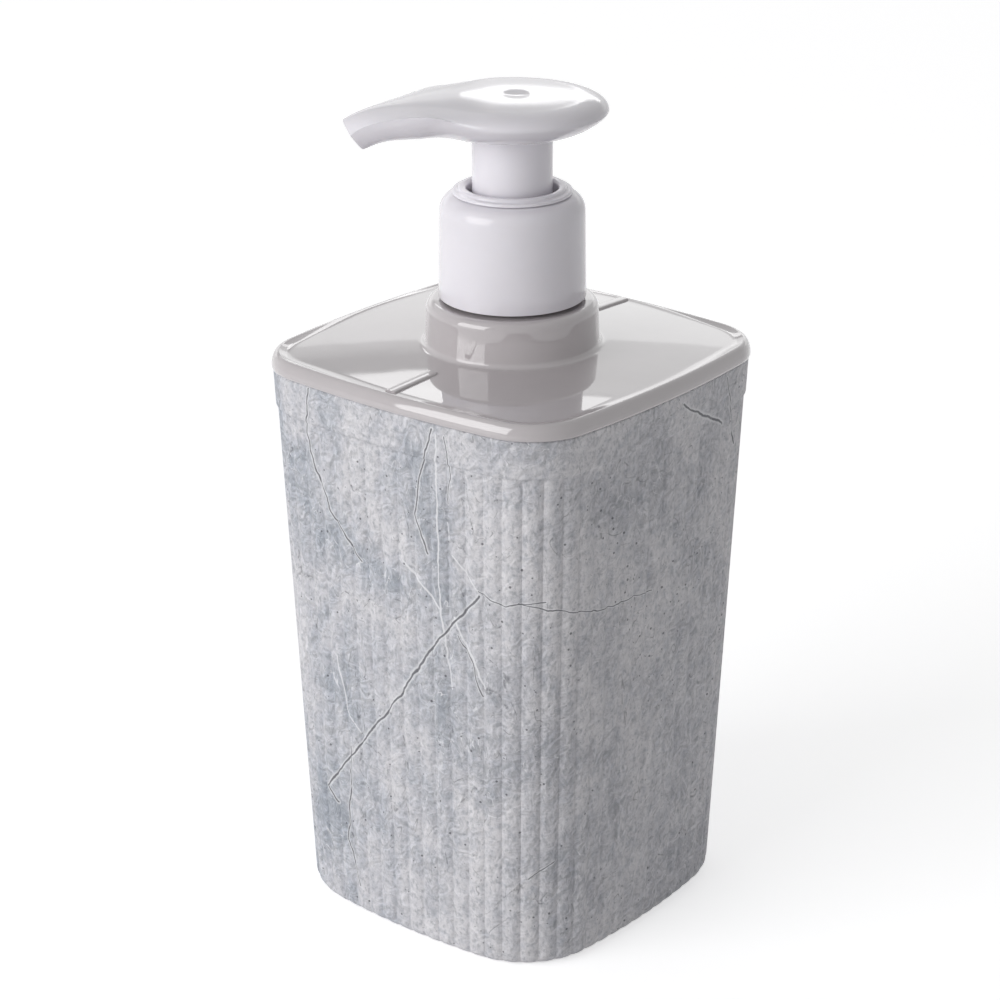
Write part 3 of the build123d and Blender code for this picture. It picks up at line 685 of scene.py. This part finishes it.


# %% [markdown]
# ## Printed concrete
# The cup is polypropylene moulded around a printed film, so it looks like old cement but feels smooth.
# The print is built up in layers, large to small: blue-grey clouds, pale streaks, a mottle, grains, pin
# holes, curly white scratches, and a few long cracks. A crack is a dark line with a pale lip on one
# side, which is what makes it look cut in. Each layer is a noise at its own size, and a scratch is the
# thin strip where a noise crosses its middle value. The few long marks are listed as lines of points
# on a wall, because no noise would put them where they belong. The inside of the cup is plain.

# %% Long marks of the print
# On the front (-Y) and the right (+X) wall: points (across, height) and half width, in millimetres
FRONT_CRACKS = [
    ([(22, 84), (12, 72), (1, 56), (-12, 39), (-21, 28), (-18, 25)], 0.22),
    ([(-21, 118), (-22, 108), (-20, 100), (-15, 91), (-8, 84)], 0.17),
    ([(12, 117), (9, 108), (6.5, 98), (10, 90)], 0.18),
    ([(15, 116), (16, 108), (15, 102)], 0.12),
    ([(-13, 40), (-15, 17), (-12, 7)], 0.13),
    ([(22, 85), (28, 83), (34, 84)], 0.13),
    ([(17, 74), (20, 69), (22, 62)], 0.13),
]
FRONT_VEINS = [
    ([(13, 116), (12.4, 100), (12.8, 78), (15, 62)], 0.16),
    ([(3.5, 87), (7, 84), (12.5, 79)], 0.22),
    ([(16, 91), (19, 88), (22, 85)], 0.18),
    ([(16, 78), (19, 72), (23, 64)], 0.20),
    ([(-16, 60), (-14, 48), (-10, 44)], 0.14),
]
FRONT_STAINS = [
    ([(-37, 112), (-31, 100), (-22, 90), (-8, 84), (6, 80)], 7.0),
    ([(10, 116), (9, 94), (13, 82)], 4.5),
    ([(-26, 36), (-18, 24)], 6.0),
    ([(14, 58), (22, 40)], 5.0),
]
FRONT_BLOOMS = [
    ([(-12, 110), (-5, 96), (1, 90)], 8.0),
    ([(-33, 72), (-28, 48)], 7.0),
    ([(0, 34), (12, 22)], 8.0),
]
RIGHT_CRACKS = [
    ([(5, 116), (11, 112), (21, 107)], 0.24),
    ([(21, 117), (24, 108), (26, 101)], 0.15),
    ([(-37, 84), (-20, 79), (-3, 78)], 0.12),
    ([(-37, 17), (-28, 25)], 0.12),
]
FRONT = ("X", (0, -1, 0))
RIGHT = ("Y", (1, 0, 0))
FAR = 99.0
WOBBLE = 1.6 * MM
WALL_START = 30.0 * MM
print("long marks:", len(FRONT_CRACKS + FRONT_VEINS + FRONT_STAINS + FRONT_BLOOMS), "on the front,",
      len(RIGHT_CRACKS), "on the right")


# %% Lines on a wall
def crack(tree, wall, points, width):
    """Distance to a broken line on a wall, over its width: below 1 the point is in the crack. A stretch is
    a foot point held between its two ends, and the nearest of the stretches counts."""
    nearest = FAR
    for start, end in zip(points[:-1], points[1:]):
        start, end = Vector((*start, 0)) * MM, Vector((*end, 0)) * MM
        run = end - start
        from_start = add(tree, "VectorMath", wall, start, operation="SUBTRACT")
        along = add(tree, "VectorMath", from_start, run, operation="DOT_PRODUCT").outputs["Value"]
        share = add(tree, "Math", along, run.length_squared, operation="DIVIDE")
        foot = add(tree, "VectorMath", run, Scale=add(tree, "Clamp", share), operation="SCALE")
        far = add(tree, "VectorMath", from_start, foot, operation="DISTANCE").outputs["Value"]
        nearest = add(tree, "Math", far, nearest, operation="MINIMUM")
    return add(tree, "Math", nearest, width * MM, operation="DIVIDE")


def marks(tree, place, wall, lines):
    """Nearest of the lines of one wall, over their width. The wall is the axis that runs along it and the
    signed axis that it looks along, so that the other walls stay clear of the lines. The place is shaken
    a little first, so that no line is quite straight."""
    across, facing = wall
    shake = add(tree, "TexNoise", Vector=place, Scale=220, Detail=3).outputs["Color"]
    centred = add(tree, "VectorMath", shake, (0.5, 0.5, 0.5), operation="SUBTRACT")
    shift = add(tree, "VectorMath", centred, (WOBBLE, WOBBLE, WOBBLE), operation="MULTIPLY")
    bent = add(tree, "SeparateXYZ", add(tree, "VectorMath", place, shift, operation="ADD")).outputs
    on_wall = add(tree, "CombineXYZ", bent[across], bent["Z"])
    nearest = FAR
    for points, width in lines:
        nearest = add(tree, "Math", crack(tree, on_wall, points, width), nearest, operation="MINIMUM")
    outward = add(tree, "VectorMath", place, facing, operation="DOT_PRODUCT").outputs["Value"]
    elsewhere = add(tree, "Math", outward, WALL_START, operation="LESS_THAN")
    away = add(tree, "Math", elsewhere, FAR, operation="MULTIPLY")
    return add(tree, "Math", nearest, away, operation="ADD")


def vein(tree, place, scale, width, distortion):
    """1 on thin lines, 0 elsewhere: the strip where a smooth noise is within width of its middle."""
    value = add(tree, "TexNoise", Vector=place, Scale=scale, Detail=2, Roughness=0.5, Distortion=distortion)
    off = add(tree, "Math", add(tree, "Math", value, 0.5, operation="SUBTRACT"), operation="ABSOLUTE")
    return add(tree, "MapRange", off, 0.0, width, 1.0, 0.0)


# %% Layers of the print
# Tones of the print on the lit left wall, and lighter, plainer ones painted on the right wall, which lies in
# shade.
LIT_SIDE_BLUE_TONES = [(0.36, "#A3A9B3"), (0.45, "#B8BBC3"), (0.53, "#C8C8CE"), (0.60, "#D4D3D7")]
SHADED_SIDE_GREY_TONES = [(0.36, "#AAAAAF"), (0.45, "#BDBCC1"), (0.53, "#CAC9CD"), (0.60, "#D6D4D7")]


def laid_over(tree, base, pattern, limits, shares, code):
    """A colour laid over the base. As the pattern goes from the first limit to the second, the share of
    the colour goes from the first share to the second."""
    return add(tree, "MixRGB", add(tree, "MapRange", pattern, *limits, *shares), base, colour(code))


def print_clouds(tree, place, to_right):
    """Soft clouds of 18 mm, lower in stains, higher in blooms, and lighter to the right: painted light on the
    shaded right wall.
    """
    soft = add(tree, "TexNoise", Scale=55, Detail=8, Roughness=0.66, Distortion=0.5,
               Vector=add(tree, "Mapping", place, (0.012, 0.021, 0.007), Scale=(1, 1, 0.75)))
    # Painted light: the clouds rise by up to 0.05 towards the right wall, which lies in shade.
    painted_right_lift = add(tree, "MapRange", to_right, -0.02, 0.035, -0.01, 0.05)
    stain = add(tree, "MapRange", marks(tree, place, FRONT, FRONT_STAINS), 0.2, 1.3, 0.09, 0.0)
    bloom = add(tree, "MapRange", marks(tree, place, FRONT, FRONT_BLOOMS), 0.2, 1.3, 0.08, 0.0)
    clouds = add(tree, "Math", soft, painted_right_lift, operation="ADD")
    return add(tree, "Math", add(tree, "Math", clouds, stain, operation="SUBTRACT"), bloom, operation="ADD")


def print_crinkle(tree, place, clouds):
    """How steep a noise of 3 mm is along one slanting line, from two samples 0.4 mm apart. It gives the
    curly light and dark edges, which are stronger in the dark clouds."""
    here, aside = (add(tree, "TexNoise", Scale=300, Detail=3, Roughness=0.55, Distortion=1.5,
                       Vector=add(tree, "Mapping", place, (step, step, -step))) for step in (0.0, 0.22 * MM))
    steep = add(tree, "Math", here, aside, operation="SUBTRACT")
    strength = add(tree, "MapRange", clouds, 0.42, 0.58, 1.2, 0.5)
    edges = add(tree, "Math", steep, strength, operation="MULTIPLY")
    return add(tree, "MapRange", edges, -0.10, 0.10, 0.80, 1.16)


def print_scratches(tree, place, clouds, mottle):
    """Curly pale scratches, broken up by the clouds and the mottle, and the long pale veins."""
    curly = vein(tree, add(tree, "Mapping", place, (0.2, 0, 0), Scale=(1, 1, 0.6)), 140, 0.012, 1.8)
    broken = add(tree, "Math", add(tree, "MapRange", clouds, 0.42, 0.52, 0.9, 0.1),
                 add(tree, "MapRange", mottle, 0.45, 0.58), operation="MULTIPLY")
    curly = add(tree, "Math", curly, broken, operation="MULTIPLY")
    veins = add(tree, "MapRange", marks(tree, place, FRONT, FRONT_VEINS), 0.7, 1.6, 0.8, 0.0)
    return add(tree, "Math", curly, veins, operation="MAXIMUM")


def print_holes(tree, place):
    """1 in the pin holes and 0 elsewhere. Points are scattered about 2 mm apart, and half of them, picked
    by their own chance, have a hole round them, of a size that goes by the same chance."""
    cells = add(tree, "TexVoronoi", Vector=place, Scale=520, Randomness=1.0).outputs
    chance = add(tree, "SeparateColor", cells["Color"])
    size = add(tree, "MapRange", chance, 0.50, 1.0, 0.05, 0.15)
    inside = add(tree, "Math", cells["Distance"], size, operation="LESS_THAN")
    picked = add(tree, "Math", chance, 0.50, operation="GREATER_THAN")
    return add(tree, "Math", inside, picked, operation="MULTIPLY")


def print_cracks(tree, place, mottle):
    """Nearness of the long cracks, and the dark lines of these and of the short ones in the mottle."""
    slanting = add(tree, "Mapping", place, Rotation=(0.4, 0.2, 0.0), Scale=(1, 1, 0.5))
    short = add(tree, "Math", vein(tree, slanting, 70, 0.005, 1.2),
                add(tree, "MapRange", mottle, 0.50, 0.56), operation="MULTIPLY")
    near = add(tree, "Math", marks(tree, place, FRONT, FRONT_CRACKS), marks(tree, place, RIGHT, RIGHT_CRACKS),
               operation="MINIMUM")
    dark = add(tree, "Math", add(tree, "MapRange", near, 0.6, 1.3, 0.85, 0.0),
               add(tree, "Math", short, 0.6, operation="MULTIPLY"), operation="MAXIMUM")
    return near, dark


# %% The printed finish
def concrete_print():
    """Matte polypropylene with a printed concrete film. Every layer is mixed over the ones before."""
    material, tree, shader = blank("printed_concrete_film")
    sample = add(tree, "TexCoord").outputs
    place = sample["Object"]
    to_right = add(tree, "SeparateXYZ", place).outputs["X"]
    clouds = print_clouds(tree, place, to_right)
    streaks = add(tree, "TexNoise", Scale=350, Detail=5, Roughness=0.65,
                  Vector=add(tree, "Mapping", place, Scale=(1, 1, 0.25)))
    mottle = add(tree, "TexNoise", Vector=place, Scale=450, Detail=4, Roughness=0.6, Distortion=0.5)
    grain = add(tree, "TexNoise", Scale=1100, Detail=4, Roughness=0.7,
                Vector=add(tree, "Mapping", place, Scale=(1, 1, 0.8)))
    scratch = print_scratches(tree, place, clouds, mottle)
    hole = print_holes(tree, place)
    near, dark = print_cracks(tree, place, mottle)

    # Blue-grey on the left and plain grey on the right, where the wall lies in shade: its lighter, plainer
    # tones are painted light that lifts the shade. Then the layers.
    blue, grey = (add(tree, "ValToRGB", clouds, stops=tones) for tones in (LIT_SIDE_BLUE_TONES, SHADED_SIDE_GREY_TONES))
    base = add(tree, "MixRGB", add(tree, "MapRange", to_right, 0.0, 0.035, 0.15, 0.85), blue, grey)
    base = laid_over(tree, base, streaks, (0.45, 0.75), (0.0, 0.5), "#E2E0E2")
    base = laid_over(tree, base, mottle, (0.30, 0.50), (0.45, 0.0), "#9A9FA9")
    base = laid_over(tree, base, grain, (0.32, 0.50), (0.55, 0.0), "#80848C")
    base = laid_over(tree, base, grain, (0.55, 0.75), (0.0, 0.4), "#E8E7E9")
    base = add(tree, "MixRGB", 1.0, base, print_crinkle(tree, place, clouds), blend_type="MULTIPLY")
    base = add(tree, "MixRGB", scratch, base, colour("#EBEBEE"))
    base = laid_over(tree, base, hole, (0.0, 1.0), (0.0, 0.75), "#3C3D44")
    base = laid_over(tree, base, near, (1.3, 3.2), (0.75, 0.0), "#E9E9EC")
    base = add(tree, "MixRGB", dark, base, colour("#4A4B52"))

    # The film wraps the outside only. Where the wall looks inwards, up or down, the plain plastic shows.
    level_place = add(tree, "VectorMath", place, (1.0, 1.0, 0.0), operation="MULTIPLY")
    outwards = add(tree, "VectorMath", level_place, sample["Normal"], operation="DOT_PRODUCT")
    plain = add(tree, "Math", outwards.outputs["Value"], 0.010, operation="LESS_THAN")
    base = add(tree, "MixRGB", plain, base, colour("#C6C5CA"))

    # The embossing follows the print: grains, mottle and scratches stand up, holes and cracks go in.
    raised = add(tree, "Math", grain, add(tree, "Math", mottle, grain, operation="ADD"), operation="ADD")
    cut = add(tree, "Math", hole, add(tree, "Math", dark, scratch, operation="SUBTRACT"), operation="ADD")
    relief = add(tree, "Math", raised, cut, operation="SUBTRACT")
    wire(tree, shader, {
        "Base Color": base,
        "Normal": add(tree, "Bump", Height=relief, Strength=0.35, Distance=0.25 * MM),
        "Roughness": add(tree, "MapRange", grain, 0.3, 0.7, 0.50, 0.68),
        "IOR": 1.49,
    })
    print(f"{material.name}: {len(tree.nodes)} nodes")
    return material


# %% [markdown]
# ## Plastics and steel
# The lid is high-gloss grey ABS and the pump is white polypropylene. Both come out of polished moulds,
# so the gloss is high, with a faint long wave in it where the plastic shrank. The parts inside are
# unpigmented polypropylene and polyethylene, milky and softer in their gloss, and let some light in.
# The spring and the valve balls are bright stainless steel. One function makes every plastic, because
# they differ only in colour, gloss and how much light they let in.

# %% Plastic
def moulded(name, code, roughness, ior=1.5, wave=0.02, clear=0.0, body=0.0, alpha=1.0):
    """Moulded plastic of one colour with a faint mottle of 17 mm, a shrink wave of 10 mm in the bump and
    a grain of 0.8 mm in the roughness. Clear is a clear top layer, body the light that scatters inside."""
    material, tree, shader = blank(name)
    place = add(tree, "TexCoord").outputs["Object"]
    mottle = add(tree, "TexNoise", Vector=place, Scale=60, Detail=3, Roughness=0.55)
    swell = add(tree, "TexNoise", Vector=place, Scale=100, Detail=1, Roughness=0.55)
    grain = add(tree, "TexNoise", Vector=place, Scale=1200, Detail=3, Roughness=0.55)
    wire(tree, shader, {
        "Base Color": laid_over(tree, colour(code), mottle, (0.3, 0.7), (0.0, 0.06), "#272727"),
        "Roughness": add(tree, "MapRange", grain, 0.3, 0.7, roughness * 0.85, roughness * 1.2),
        "Normal": add(tree, "Bump", Height=swell, Strength=wave, Distance=2.0 * MM),
        "IOR": ior,
        "Coat Weight": clear,
        "Coat Roughness": 0.03,
        "Subsurface Weight": body,
        "Subsurface Radius": (1.0, 0.9, 0.8),
        "Subsurface Scale": 1.0 * MM,
        "Alpha": alpha,
    })
    return material


# %% Steel
def bright_steel():
    """Bright drawn stainless wire and polished balls: full metal, with fine lines of 0.7 mm in it."""
    material, tree, shader = blank("bright_stainless_steel")
    place = add(tree, "TexCoord").outputs["Object"]
    lines = add(tree, "TexNoise", Scale=1500, Detail=2, Roughness=0.55,
                Vector=add(tree, "Mapping", place, Scale=(1, 1, 6)))
    wire(tree, shader, {
        "Base Color": add(tree, "ValToRGB", lines, stops=[(0.3, "#B9B9BC"), (0.7, "#D2D2D4")]),
        "Roughness": add(tree, "MapRange", lines, 0.3, 0.7, 0.18, 0.32),
        "Metallic": 1.0,
    })
    return material


# %% Every piece gets its finish
finishes = {
    "cup": concrete_print(),
    "lid": moulded("high_gloss_grey_abs", "#BCB6B8", 0.04, ior=1.54, wave=0.012, clear=1.0),
    "pump_white": moulded("glossy_white_polypropylene", "#EAE7ED", 0.10, ior=1.49, wave=0.02, body=0.15),
    "housing": moulded("natural_polypropylene", "#DADCDD", 0.35, ior=1.49, body=0.2),
    "piston": moulded("soft_natural_polyethylene", "#D8DADC", 0.45, ior=1.51, body=0.2),
    "gasket": moulded("foamed_polyethylene", "#DEDEDA", 0.8, ior=1.45),
    "dip_tube": moulded("translucent_polyethylene_tube", "#DDE2E6", 0.3, ior=1.51, body=0.2, alpha=0.6),
    "steel": bright_steel(),
}
for entry in frame["record"]["subparts"]:
    node = frame["nodes"][entry["node"]]
    node.data.materials.clear()
    node.data.materials.append(finishes[entry["material_slot"]])
new_pieces = {
    "cup": [cup],
    "lid": [lid, neck_thread, *bars],
    "pump_white": [collar, collar_thread, chaplet, plate, belly, sleeve],
}
for slot, pieces in new_pieces.items():
    for piece in pieces:
        piece.data.materials.append(finishes[slot])
print("finishes:", ", ".join(sorted(material.name for material in finishes.values())))

# %% [markdown]
# ## Floor, light and camera
# A white table in a white studio. A big soft light stands in front and to the left, so the right side
# falls into shade. Bright windows stand behind, above eye level, and are seen only as the sharp white
# patches on gloss. White plastic and grey plastic need them in different places and strengths, so a
# window may be linked to the pieces that it lights, and one long low panel lights them all.

# %% The floor
FLOOR_REACH = 3.0


def shown(tree):
    """1 for a ray from the camera, or by way of gloss or glass, and 0 for the light that falls on things."""
    rays = add(tree, "LightPath").outputs
    share = add(tree, "Math", rays["Is Camera Ray"], rays["Is Glossy Ray"], operation="MAXIMUM")
    return add(tree, "Math", share, rays["Is Transmission Ray"], operation="MAXIMUM")


def floor_piece():
    """Large white sheet. Where it is seen it also glows a little, so that it meets the white behind."""
    mesh = bpy.data.meshes.new("table")
    corners = [(x * FLOOR_REACH, y * FLOOR_REACH, 0) for x, y in ((-1, -1), (1, -1), (1, 1), (-1, 1))]
    mesh.from_pydata(corners, [], [(0, 1, 2, 3)])
    floor = bpy.data.objects.new("table", mesh)
    scene.collection.objects.link(floor)
    material, tree, shader = blank("white_table")
    wire(tree, shader, {"Base Color": colour("#EFEFF0"), "Roughness": 0.9})
    glow = add(tree, "Emission", Color=colour("#FFFFFF"), Strength=0.55)
    both = add(tree, "AddShader", shader, glow)
    pick = add(tree, "MixShader", shown(tree), shader, both)
    tree.links.new(pick.outputs["Shader"], tree.nodes["Material Output"].inputs["Surface"])
    mesh.materials.append(material)
    print("table:", 2 * FLOOR_REACH, "m wide")


floor_piece()


# %% The room
def sky():
    """World. What is seen of it is white, with one grey board high up at the back. The light it gives is
    stronger from the left and from low down, like a white studio lit from one side."""
    world = bpy.data.worlds.new("studio")
    scene.world = world
    world.use_nodes = True
    tree = world.node_tree
    direction = add(tree, "TexCoord").outputs["Generated"]
    up = add(tree, "SeparateXYZ", direction).outputs["Z"]
    left, back, right = (
        add(tree, "VectorMath", direction, towards, operation="DOT_PRODUCT").outputs["Value"]
        for towards in ((-0.8, -0.25, 0.0), (-0.63, 0.78, 0.0), (0.78, 0.63, 0.0)))
    level = add(tree, "Math", add(tree, "MapRange", left, -0.6, 0.5, 0.42, 0.80),
                add(tree, "MapRange", up, 0.30, 0.75, 1.0, 0.5), operation="MULTIPLY")
    board = add(tree, "Math", add(tree, "MapRange", up, 0.325, 0.345),
                add(tree, "MapRange", up, 0.385, 0.40, 1.0, 0.0), operation="MULTIPLY")
    board = add(tree, "Math", board, add(tree, "MapRange", back, 0.5, 0.7), operation="MULTIPLY")
    shaded = add(tree, "MapRange", right, -0.04, 0.06, 1.0, 0.15)
    board = add(tree, "Math", board, shaded, operation="MULTIPLY")
    white = add(tree, "MapRange", board, 0.0, 1.0, 1.0, 0.70)
    given, seen = (add(tree, "Background", Color=colour("#FFFFFF"), Strength=strength)
                   for strength in (level, white))
    pick = add(tree, "MixShader", shown(tree), given, seen)
    tree.links.new(pick.outputs["Shader"], tree.nodes["World Output"].inputs["Surface"])
    print(f"{world.name}: {len(tree.nodes)} nodes")


sky()


# %% The lamps
def studio_light(name, place, target, width, height, power, lit=()):
    """Oblong soft light at a place, aimed at a target. The camera doesn't see it, gloss does. Where
    pieces are named, it lights only these."""
    data = bpy.data.lights.new(name, "AREA")
    data.shape, data.size, data.size_y, data.energy = "RECTANGLE", width, height, power
    light = bpy.data.objects.new(name, data)
    light.location = place
    light.rotation_euler = (Vector(target) - Vector(place)).to_track_quat("-Z", "Y").to_euler()
    light.visible_camera = False
    scene.collection.objects.link(light)
    if lit:
        only = bpy.data.collections.new(name + "_lights")
        for piece in lit:
            only.objects.link(piece)
        light.light_linking.receiver_collection = only
    print(f"{name}: {power} W on", ", ".join(piece.name for piece in lit) or "everything")


WINDOW = (-1.07, 1.07, 0.822)
PUMP = (0, 0, 0.12)
studio_light("key", (-0.38, -1.25, 0.58), (0, 0, 0.09), 1.0, 1.0, 10.0)
studio_light("window", WINDOW, PUMP, 0.375, 0.165, 0.66, [collar, chaplet])
studio_light("pale_window", WINDOW, PUMP, 0.375, 0.165, 0.26, [lid, *bars])
studio_light("second_window", (-0.828, 1.264, 0.874), PUMP, 0.30, 0.10, 0.12, [lid, *bars])
studio_light("strip", (-1.085, 1.70, 0.678), (0, 0, 0.15), 0.63, 0.165, 0.62, [plate])
studio_light("back", (-1.04, 1.735, 0.77), PUMP, 0.65, 0.50, 0.30, [lid, *bars])
studio_light("panel", (-1.26, 1.56, 0.59), PUMP, 3.0, 0.39, 1.3)


# %% The camera
SENSOR = 36.0
FOCAL_SHARE = 2.8556


def camera():
    """Long lens looking down a little at the front corner. Its focal length is FOCAL_SHARE times the
    sensor's width, and the small shift frames the object."""
    turn, tilt, distance = radians(38.97), radians(21.67), 0.5955
    target = Vector((0, 0, 0.090))
    back = Vector((sin(turn) * cos(tilt), -cos(turn) * cos(tilt), sin(tilt)))
    data = bpy.data.cameras.new("camera")
    data.sensor_width, data.lens = SENSOR, SENSOR * FOCAL_SHARE
    data.shift_x, data.shift_y = -0.01236, -0.01369
    eye = bpy.data.objects.new("camera", data)
    eye.location = target + back * distance
    eye.rotation_euler = back.to_track_quat("Z", "Y").to_euler()
    scene.collection.objects.link(eye)
    scene.camera = eye
    print("camera:", round(data.lens, 1), "mm lens at", distance, "m")


camera()
scene.view_settings.view_transform = "Standard"
